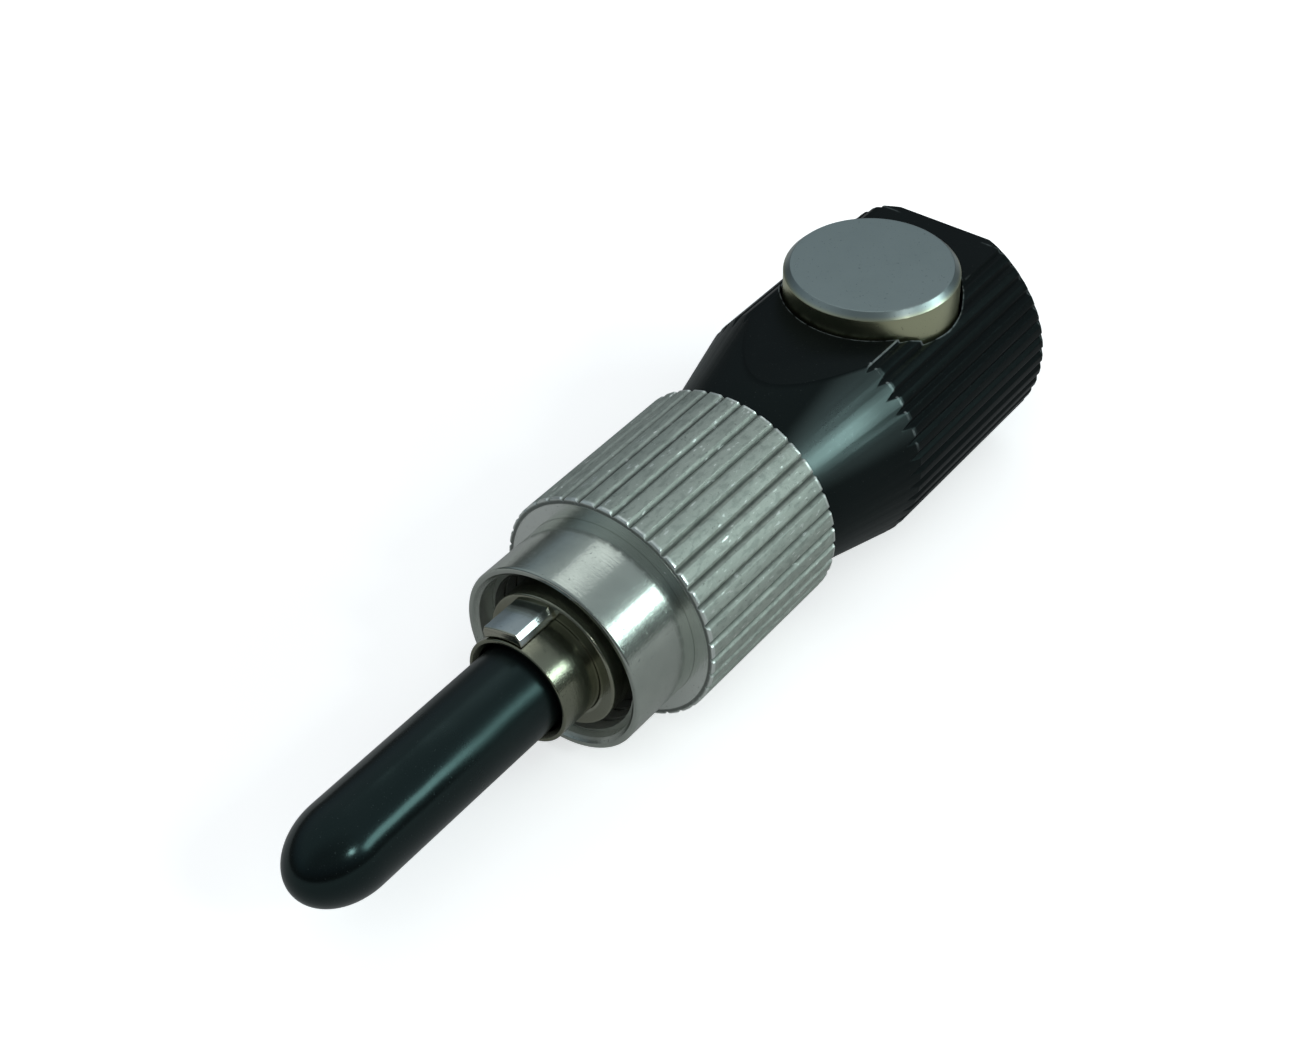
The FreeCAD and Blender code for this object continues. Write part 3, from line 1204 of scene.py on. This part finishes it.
@dataclass
class FerruleGroup:
    """Ceramic ferrule, its flange and guide tube, and the coil behind them."""

    shop: Workshop
    tip_x: float = -6.7
    end_x: float = 4.15
    radius: float = 1.25
    chamfer: float = 0.35
    hole_r: float = 0.063
    funnel_r: float = 0.4
    funnel_len: float = 0.8
    spring_r: float = 1.9
    spring_wire: float = 0.2
    spring_x: float = 4.85
    seat_x: float = 12.45
    spring_turns: float = 5.0
    travel: float = 1.0

    def build(self) -> None:
        """Build the ferrule and its coil, and dress the hidden solids."""
        corners = [
            (self.tip_x, self.hole_r, 0.01),
            (self.tip_x, self.radius - self.chamfer, 0.12),
            (self.tip_x + self.chamfer, self.radius, 0.12),
            (self.end_x, self.radius, 0.05),
            (self.end_x, self.funnel_r, 0.05),
            (self.end_x - self.funnel_len, self.hole_r, 0),
        ]
        ceramic = turned(rounded(corners), Axis.PLUG)
        self.shop.hand_over("ferrule_ceramic", ceramic, Slot.ZIRCONIA, Body.FERRULE, "ferrule")
        self.shop.dress_node("ferrule_flange", Slot.FRAME)
        self.shop.dress_node("guide_tube", Slot.STEEL)
        self.shop.dress_node("spring_seat", Slot.FRAME)
        self._spring()

    def _spring(self) -> None:
        """Wind the coil that pushes the ferrule forward."""
        room = self.seat_x - self.spring_x
        climb = room - 2 * self.spring_wire
        coil = self.shop.coil(self.spring_r, climb, self.spring_turns, self.spring_wire, Slot.STEEL)
        coil.transform(Matrix.Translation((self.spring_x + self.spring_wire, 0, 0)) @ LIE_DOWN)
        spring = self.shop.hand_over("ferrule_coil", coil, Slot.STEEL, Body.ADAPTER, "ferrule_spring")
        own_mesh(spring)


@dataclass
class PlugNose:
    """Turned inner frame with its thin nose, and the key ring round it."""

    shop: Workshop
    nose_x: float = -2.2
    nose_r: float = NOSE_R
    pocket_r: float = 2.15
    lead: float = 0.2
    cap_seat_x: float = 1.6
    neck_r: float = 1.375
    neck_end_x: float = 2.6
    bore_r: float = 2.3
    front_r: float = 3.05
    stop_x: float = 7.95
    stop_end_x: float = 9.25
    stop_r: float = 3.514
    barrel_r: float = 2.95
    barrel_end_x: float = 16.35
    ring_r: float = 3.2
    ring_bore_r: float = 2.52
    key_x: float = -2.1
    key_w: float = 2.0
    key_top: float = 3.0
    key_crown: float = 0.08
    key_crown_r: float = 4.0
    key_edge_w: float = 0.15
    key_edge_h: float = 0.35
    key_front_edge: float = 0.07
    key_turn: float = -15.0
    key_root: float = 0.3
    key_lift: float = 0.02
    key_steps: int = 12

    def build(self) -> None:
        """Build the frame and the key ring."""
        corners = [
            (self.nose_x + self.lead, self.pocket_r, 0.05),
            (self.nose_x, self.pocket_r + self.lead, 0.04),
            (self.nose_x, self.nose_r, 0.09),
            (self.neck_end_x, self.nose_r, 0),
            (self.neck_end_x, self.front_r, 0.05),
            (self.stop_x, self.front_r, 0),
            (self.stop_x, self.stop_r, 0.05),
            (self.stop_end_x, self.stop_r, 0.05),
            (self.stop_end_x, self.barrel_r, 0),
            (self.barrel_end_x, self.barrel_r, 0.05),
            (self.barrel_end_x, self.bore_r, 0.05),
            (self.neck_end_x, self.bore_r, 0),
            (self.neck_end_x, self.neck_r, 0.05),
            (self.cap_seat_x, self.neck_r, 0.05),
            (self.cap_seat_x, self.pocket_r, 0),
        ]
        nose = turned(rounded(corners), Axis.PLUG)
        self.shop.hand_over("nose_frame", nose, Slot.FRAME, Body.ADAPTER, "plug_frame")
        corners = [
            (0.0, self.ring_bore_r, 0.03),
            (0.0, self.ring_r, 0.12),
            (self.neck_end_x, self.ring_r, 0.05),
            (self.neck_end_x, self.ring_bore_r, 0.03),
        ]
        keyed = joined(turned(rounded(corners), Axis.PLUG), [self._key()], Joinery.WELD)
        self.shop.hand_over("nose_key_ring", keyed, Slot.FRAME, Body.ADAPTER, "key_ring")

    def _key(self) -> Mesh:
        """Build the key: a bar with a crowned top whose underside follows the nose.

        Returns:
            The key's mesh.
        """
        half_w = self.key_w / 2
        flat_w = half_w - self.key_edge_w
        low_top = self.key_top - self.key_edge_h
        side_top = self.key_top - self.key_crown
        corners = [
            (-half_w, 0.0, 0),
            (-half_w, low_top, 0.06),
            (-flat_w, side_top, 0.05),
            (0.0, self.key_top, self.key_crown_r),
            (flat_w, side_top, 0.05),
            (half_w, low_top, 0.06),
            (half_w, 0.0, 0),
        ]
        section = rounded(corners)[1:-1]
        low_r = self.ring_bore_r + self.key_lift
        spread = math.asin(half_w / low_r)
        for step in range(self.key_steps + 1):
            turn = spread - 2 * spread * step / self.key_steps
            section.append((low_r * math.sin(turn), low_r * math.cos(turn)))
        shape = bmesh.new()
        front = [shape.verts.new((self.key_x, y, z)) for y, z in section]
        face = shape.faces.new(front)
        grown = bmesh.ops.extrude_face_region(shape, geom=[face])
        moved = [item for item in grown["geom"] if isinstance(item, bmesh.types.BMVert)]
        bmesh.ops.translate(shape, verts=moved, vec=(self.key_root - self.key_x, 0, 0))
        edges = [edge for edge in shape.edges if all(vert in front for vert in edge.verts)]
        bmesh.ops.bevel(shape, geom=edges, offset=self.key_front_edge, segments=3, profile=0.5,
                        affect="EDGES")
        lean = Matrix.Rotation(math.radians(self.key_turn), 3, "X")
        bmesh.ops.rotate(shape, verts=shape.verts, matrix=lean)
        return as_mesh(shape)


@dataclass
class CouplingNut:
    """Knurled nut with a smooth collar, a threaded bore and a rear lip."""

    shop: Workshop
    knurl: Knurl = NUT_KNURL
    collar_r: float = 4.45
    collar_len: float = NUT_KNURL.front_x
    length: float = NUT_KNURL.end_x
    edge: float = 0.06
    lead: float = 0.2
    lip_r: float = 3.03
    lip_x: float = 9.45
    relief_r: float = 4.1
    thread_end_x: float = 6.0
    thread_r: float = 4.0
    thread_minor_r: float = 3.594
    thread_pitch: float = 0.75
    thread_sides: int = 3
    ridge_stand: float = 1.25
    burr: float = 0.02

    def build(self) -> None:
        """Build the nut and its thread."""
        nut = self.shop.knurled(self.knurl, self._outline, Slot.NUT)
        self.shop.hand_over("knurled_nut", nut, Slot.NUT, Body.NUT, "coupling_nut")
        self._thread()

    def _outline(self, ridge_r: float) -> list[Point]:
        """Draw the nut's outline.

        Args:
            ridge_r: The knurl's radius at this place.

        Returns:
            The closed outline.
        """
        rise = max(ridge_r - self.knurl.tip_r + self.edge, self.burr)
        return rounded([
            (self.lead, self.thread_r, 0.04),
            (0.0, self.thread_r + self.lead, 0.04),
            (0.0, self.collar_r, 0.12),
            (self.collar_len, self.collar_r, 0),
            (self.collar_len, ridge_r - rise, 0.03),
            (self.collar_len + rise, ridge_r, 0.05),
            (self.length - rise, ridge_r, 0.05),
            (self.length, ridge_r - rise, 0.03),
            (self.length, self.lip_r, 0.08),
            (self.lip_x, self.lip_r, 0.05),
            (self.lip_x, self.relief_r, 0),
            (self.thread_end_x, self.relief_r, 0),
            (self.thread_end_x, self.thread_r, 0.03),
        ])

    def _thread(self) -> None:
        """Wind the thread's ridge, a three-sided wire that is partly sunk in the bore's wall."""
        wire = (self.thread_r - self.thread_minor_r) / self.ridge_stand
        margin = 2 * wire
        climb = self.thread_end_x - 2 * margin
        turns = climb / self.thread_pitch
        ridge = self.shop.coil(self.thread_minor_r + wire, climb, turns, wire, Slot.NUT, self.thread_sides,
                               section_turn=math.pi)
        ridge.transform(Matrix.Translation((margin, 0, 0)) @ LIE_DOWN)
        self.shop.hand_over("nut_thread", ridge, Slot.NUT, Body.NUT)


@dataclass
class ClampBody:
    """Black clamp body: cone, knurled sides, two flats, button pocket and fibre bore."""

    shop: Workshop
    knurl: Knurl = BODY_KNURL
    front_x: float = 12.95
    end_x: float = BODY_KNURL.end_x
    cone_r: float = CONE_R
    cone_edge: float = 0.15
    cone_len: float = 5.6
    edge: float = 0.4
    socket_r: float = 2.97
    socket_x: float = 16.35
    guide_r: float = 0.55
    guide_end_x: float = 19.45
    bore_r: float = 0.5
    entry_r: float = 1.5
    entry_depth: float = 1.0
    flat_z: float = FLAT_Z
    underside_z: float = -5.45
    pocket_r: float = POCKET_R
    pocket_z: float = 2.31
    well_r: float = 2.25
    well_z: float = WELL_Z
    stem_r: float = 1.55
    screw_r: float = 2.05
    screw_z: float = -3.2
    soft: float = 0.06
    weld_within: float = 0.0005
    level_within: float = 0.001
    level_normal: float = 0.999

    def build(self) -> None:
        """Build the body."""
        ring = self.shop.knurled(self.knurl, self._outline, Slot.BLACK)
        cut = joined(ring, [*self._flats(), self._button_way()], Joinery.CUT)
        self.shop.hand_over("clamp_shell", self._soften(cut), Slot.BLACK, Body.ADAPTER, "clamp_body")

    def _outline(self, ridge_r: float) -> list[Point]:
        """Draw the body's outline.

        Args:
            ridge_r: The knurl's radius at this place.

        Returns:
            The closed outline.
        """
        slope = (self.knurl.tip_r - self.cone_r) / (self.cone_len - self.cone_edge)
        cone_x = self.front_x + self.cone_edge
        shoulder = self.knurl.tip_r - self.edge
        return rounded([
            (self.front_x, self.socket_r, 0.05),
            (self.front_x, self.cone_r - self.cone_edge, 0.06),
            (cone_x, self.cone_r, 0.06),
            (cone_x + (ridge_r - self.cone_r) / slope, ridge_r, 0.05),
            (self.end_x - (ridge_r - shoulder), ridge_r, 0.06),
            (self.end_x, shoulder, 0.06),
            (self.end_x, self.entry_r, 0.08),
            (self.end_x - self.entry_depth, self.bore_r, 0),
            (self.guide_end_x, self.bore_r, 0),
            (self.guide_end_x, self.guide_r, 0),
            (self.socket_x, self.guide_r, 0.03),
            (self.socket_x, self.socket_r, 0),
        ])

    def _flats(self) -> list[Mesh]:
        """Build the tools for the flats.

        Returns:
            The two blocks that cut the top flat and the underside.
        """
        far = 2 * self.knurl.tip_r
        middle_x = (self.front_x + self.end_x) / 2
        length = 2 * (self.end_x - self.front_x)
        spans = (self.flat_z, far), (-far, self.underside_z)
        return [
            block((middle_x, 0, (low + high) / 2), (length, 2 * far, high - low)) for low, high in spans
        ]

    def _button_way(self) -> Mesh:
        """Build the tool for the button's way.

        Returns:
            The stepped tool that cuts the pocket, the well, the stem hole and the screw hole.
        """
        far = 2 * self.knurl.tip_r
        outline = [
            (far, 0.0),
            (far, self.pocket_r),
            (self.pocket_z, self.pocket_r),
            (self.pocket_z, self.well_r),
            (self.well_z, self.well_r),
            (self.well_z, self.stem_r),
            (self.screw_z, self.stem_r),
            (self.screw_z, self.screw_r),
            (-far, self.screw_r),
            (-far, 0.0),
        ]
        return turned(outline, Axis.BUTTON)

    def _soften(self, mesh: Mesh) -> Mesh:
        """Break the sharp edges of the two flats.

        Args:
            mesh: The cut body.

        Returns:
            The softened body.
        """
        shape = as_shape(mesh)
        bmesh.ops.remove_doubles(shape, verts=shape.verts, dist=self.weld_within)
        bmesh.ops.recalc_face_normals(shape, faces=shape.faces)
        edges = []
        for edge in shape.edges:
            level = [self._on_flat(face) for face in edge.link_faces]
            if len(level) == 2 and level[0] != level[1]:
                edges.append(edge)
        bmesh.ops.bevel(shape, geom=edges, offset=self.soft, segments=2, profile=0.5, affect="EDGES",
                        clamp_overlap=True)
        return as_mesh(shape)

    def _on_flat(self, face: bmesh.types.BMFace) -> bool:
        """Tell whether a face lies on the top flat or the underside.

        Args:
            face: The face.

        Returns:
            Whether it does.
        """
        height = face.calc_center_median().z
        near = min(abs(height - self.flat_z), abs(height - self.underside_z))
        return near < self.level_within and abs(face.normal.z) > self.level_normal


@dataclass
class PushButton:
    """Round chamfered button with its stem, coil and keeper screw."""

    shop: Workshop
    radius: float = 4.0
    top_z: float = 6.26
    low_z: float = 3.56
    chamfer: float = 0.3
    stem_r: float = 1.5
    stem_z: float = -3.25
    grip_r: float = 0.7
    grip_z: float = 0.8
    grip_sides: int = 48
    screw_hole_r: float = 0.82
    screw_hole_z: float = -1.23
    spring_r: float = 1.875
    spring_wire: float = 0.175
    spring_turns: float = 3.0
    well_z: float = WELL_Z
    travel: float = 1.0
    head_r: float = 1.9
    head_z: float = -4.4
    shank_r: float = 0.8
    shank_z: float = -1.25
    slot_w: float = 0.5
    slot_depth: float = 0.5

    def build(self) -> None:
        """Build the button, its coil and its screw."""
        corners = [
            (self.top_z, 0.0, 0),
            (self.top_z, self.radius - self.chamfer, 0.07),
            (self.top_z - self.chamfer, self.radius, 0.07),
            (self.low_z, self.radius, 0.1),
            (self.low_z, self.stem_r, 0.05),
            (self.stem_z, self.stem_r, 0.05),
            (self.stem_z, self.screw_hole_r, 0.05),
            (self.screw_hole_z, self.screw_hole_r, 0),
            (self.screw_hole_z, 0.0, 0),
        ]
        solid = joined(turned(rounded(corners), Axis.BUTTON), [self._grip()], Joinery.CUT)
        self.shop.hand_over("button_cap", solid, Slot.BUTTON, Body.BUTTON, "push_button")
        self._spring()
        self._screw()

    def _grip(self) -> Mesh:
        """Build the tool for the stem's cross hole.

        Returns:
            The rod that cuts it.
        """
        shape = bmesh.new()
        place = Matrix.Translation((BUTTON_X, 0, self.grip_z)) @ LIE_DOWN
        bmesh.ops.create_cone(shape, cap_ends=True, segments=self.grip_sides, radius1=self.grip_r,
                              radius2=self.grip_r, depth=4 * self.stem_r, matrix=place)
        return as_mesh(shape)

    def _spring(self) -> None:
        """Wind the coil that lifts the button."""
        room = self.low_z - self.well_z
        climb = room - 2 * self.spring_wire
        coil = self.shop.coil(self.spring_r, climb, self.spring_turns, self.spring_wire, Slot.STEEL)
        coil.transform(Matrix.Translation((BUTTON_X, 0, self.well_z + self.spring_wire)))
        spring = self.shop.hand_over("button_coil", coil, Slot.STEEL, Body.ADAPTER, "button_spring")
        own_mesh(spring)

    def _screw(self) -> None:
        """Build the slotted screw in the stem's end."""
        corners = [
            (self.head_z, 0.0, 0),
            (self.head_z, self.head_r, 0.16),
            (self.stem_z, self.head_r, 0.05),
            (self.stem_z, self.shank_r, 0.03),
            (self.shank_z, self.shank_r, 0.08),
            (self.shank_z, 0.0, 0),
        ]
        slot = block((BUTTON_X, 0, self.head_z), (4 * self.head_r, self.slot_w, 2 * self.slot_depth))
        screw = joined(turned(rounded(corners), Axis.BUTTON), [slot], Joinery.CUT)
        self.shop.hand_over("keeper_screw", screw, Slot.STEEL, Body.BUTTON, "button_screw")


@dataclass(frozen=True)
class Softbox:
    """A soft rectangular lamp that faces the part, with angles in degrees and lengths in metres."""

    name: str
    azimuth: float
    elevation: float
    distance: float
    width: float
    height: float
    glow: float
    tint: Colour = WHITE
    mirrored: bool = True

    def hang(self) -> None:
        """Hang the lamp, whose glow is its brightness seen from the part."""
        azimuth, elevation = math.radians(self.azimuth), math.radians(self.elevation)
        away = Vector((math.cos(elevation) * math.cos(azimuth), math.cos(elevation) * math.sin(azimuth),
                       math.sin(elevation)))
        lamp = bpy.data.lights.new(self.name, "AREA")
        lamp.shape = "RECTANGLE"
        lamp.size, lamp.size_y = self.width, self.height
        lamp.energy = self.glow * self.width * self.height * math.pi
        lamp.color = self.tint
        holder = placed(self.name, lamp)
        holder.location = Vector(LAMP_AIM) * MM + away * self.distance
        holder.rotation_euler = away.to_track_quat("Z", "Y").to_euler()
        holder.visible_camera = False
        holder.visible_glossy = self.mirrored


@dataclass
class Studio:
    """White table top, soft lamps, a dim room and the camera."""

    floor_z: float = -5.46
    floor_half: float = 3000.0
    floor_glow: float = 0.55
    floor_white: float = 0.8
    floor_grey: float = 0.34
    glow_reach: Band = (22.0, 60.0)
    mirrored_share: float = 0.16
    eye: Triple = (-48.09, -43.77, 63.53)
    right: Triple = (0.60367, -0.79686, -0.02461)
    down: Triple = (-0.53584, -0.38269, -0.75261)
    focal: float = 2235.2
    image_width: float = 1314.0
    sensor: float = 36.0
    clip: Band = (0.002, 20.0)
    sky: tuple[tuple[float, Colour], ...] = (
        (0.0, (0.05, 0.055, 0.055)),
        (0.17, (0.09, 0.10, 0.10)),
        (0.40, (0.22, 0.27, 0.31)),
        (0.62, (0.36, 0.41, 0.435)),
        (1.0, (0.40, 0.45, 0.47)),
    )
    dark_side: Triple = (-0.64, -0.50, 0.58)
    gloom: float = 0.5
    gloom_reach: Band = (0.5, 0.95)
    lamps: tuple[Softbox, ...] = (
        Softbox("window", -62.0, 27.0, 0.40, 0.22, 0.09, 6.5, (0.81, 1.0, 0.98)),
        Softbox("pane", -96.0, 39.0, 0.40, 0.05, 0.05, 22.0, (0.92, 1.0, 0.99)),
        Softbox("ceiling", 17.0, 52.0, 0.40, 0.20, 0.09, 0.9, (0.96, 1.0, 1.0)),
        Softbox("fill", -150.0, 50.0, 0.60, 0.50, 0.50, 1.5, mirrored=False),
    )

    def build(self) -> None:
        """Set up the room."""
        bpy.context.scene.view_settings.view_transform = "Standard"
        self._room()
        self._table()
        self._camera()
        for lamp in self.lamps:
            lamp.hang()

    def _room(self) -> None:
        """Make the room: dark at the horizon and behind the camera, paler overhead, white to the eye."""
        world = bpy.data.worlds.new("room")
        world.use_nodes = True
        bpy.context.scene.world = world
        graph = Graph(world.node_tree)
        way = graph.node("ShaderNodeTexCoord").outputs["Generated"]
        height = graph.read(graph.node("ShaderNodeSeparateXYZ", {"Vector": way}), "Z")
        sky = graph.node("ShaderNodeValToRGB", {"Fac": height}, stops=self.sky)
        facing = graph.node("ShaderNodeVectorMath", {0: way, 1: self.dark_side}, operation="DOT_PRODUCT")
        gloom = graph.read(facing, "Value").ramp(*self.gloom_reach) * self.gloom
        glow = graph.node("ShaderNodeBackground", {"Color": sky, "Strength": 1 - gloom})
        backdrop = graph.node("ShaderNodeBackground", {"Color": WHITE, "Strength": 1.0})
        seen = graph.read(graph.node("ShaderNodeLightPath"), "Is Camera Ray")
        both = graph.node("ShaderNodeMixShader", {0: seen, 1: glow, 2: backdrop})
        graph.node("ShaderNodeOutputWorld", {"Surface": both})

    def _table(self) -> None:
        """Lay the table top, which is white to the eye, greyer in mirrors, and keeps the shadow."""
        shape = bmesh.new()
        bmesh.ops.create_grid(shape, x_segments=1, y_segments=1, size=self.floor_half,
                              matrix=Matrix.Translation((0, 0, self.floor_z)))
        mesh = as_mesh(shape, outward=False)
        mesh.transform(Matrix.Scale(MM, 4))
        mesh.materials.append(self._table_paint())
        table = placed("table_top", mesh)

    def _table_paint(self) -> Material:
        """Make the table's material.

        Returns:
            The material.
        """
        material = bpy.data.materials.new("white_table")
        material.use_nodes = True
        graph = Graph(material.node_tree)
        paths = graph.node("ShaderNodeLightPath")
        mirrored = graph.read(paths, "Is Glossy Ray").most(graph.read(paths, "Is Transmission Ray"))
        direct = graph.read(paths, "Is Camera Ray")
        paint = graph.layer((self.floor_grey,) * 3, (direct, (self.floor_white,) * 3))
        matt = graph.node("ShaderNodeBsdfDiffuse", {"Color": paint})
        values = {0: graph.node("ShaderNodeTexCoord").outputs["Object"], 1: Vector(LAMP_AIM) * MM}
        apart = graph.node("ShaderNodeVectorMath", values, operation="DISTANCE")
        near, far = self.glow_reach
        away = graph.read(apart, "Value").ramp(near * MM, far * MM)
        white = graph.layer((self.floor_glow,) * 3, (away, WHITE))
        seen = direct.most(mirrored * self.mirrored_share)
        glow = graph.node("ShaderNodeEmission", {"Color": white, "Strength": seen})
        both = graph.node("ShaderNodeAddShader", {0: matt, 1: glow})
        graph.node("ShaderNodeOutputMaterial", {"Surface": both})
        return material

    def _camera(self) -> None:
        """Stand the camera where the photograph was taken from."""
        data = bpy.data.cameras.new("camera")
        data.sensor_fit = "HORIZONTAL"
        data.sensor_width = self.sensor
        data.lens = data.sensor_width * self.focal / self.image_width
        data.clip_start, data.clip_end = self.clip
        right, up = Vector(self.right).normalized(), -Vector(self.down).normalized()
        back = right.cross(up).normalized()
        turn = Matrix((right, up, back)).transposed().to_4x4()
        camera = placed("camera", data)
        camera.matrix_world = Matrix.Translation(Vector(self.eye) * MM) @ turn
        bpy.context.scene.camera = camera


def finishes() -> dict[Slot, Material]:
    """Make each slot's material.

    Returns:
        The materials by slot.
    """
    looks = {
        Slot.VINYL: Vinyl(),
        Slot.ZIRCONIA: Zirconia(),
        Slot.FRAME: NoseNickel("warm_nickel", (0.50, 0.50, 0.41), (0.38, 0.36, 0.28), 0.12),
        Slot.NUT: KnurledNickel("bright_nickel", (0.51, 0.545, 0.495), (0.41, 0.445, 0.405), 0.15),
        Slot.BLACK: Anodised(),
        Slot.BUTTON: ButtonNickel("satin_nickel", (0.32, 0.375, 0.37), (0.29, 0.345, 0.34), 0.22),
        Slot.STEEL: Steel(),
    }
    return {slot: look.material() for slot, look in looks.items()}


def main() -> None:
    """Build every piece and the studio."""
    logging.basicConfig(level=logging.INFO, format="%(name)s %(message)s")
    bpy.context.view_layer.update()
    shop = Workshop(Recipe(), finishes())
    for assembly in (DustCap, FerruleGroup, PlugNose, CouplingNut, ClampBody, PushButton):
        assembly(shop).build()
    Studio().build()
    LOG.info("boxes written")


if __name__ == "__main__":
    main()
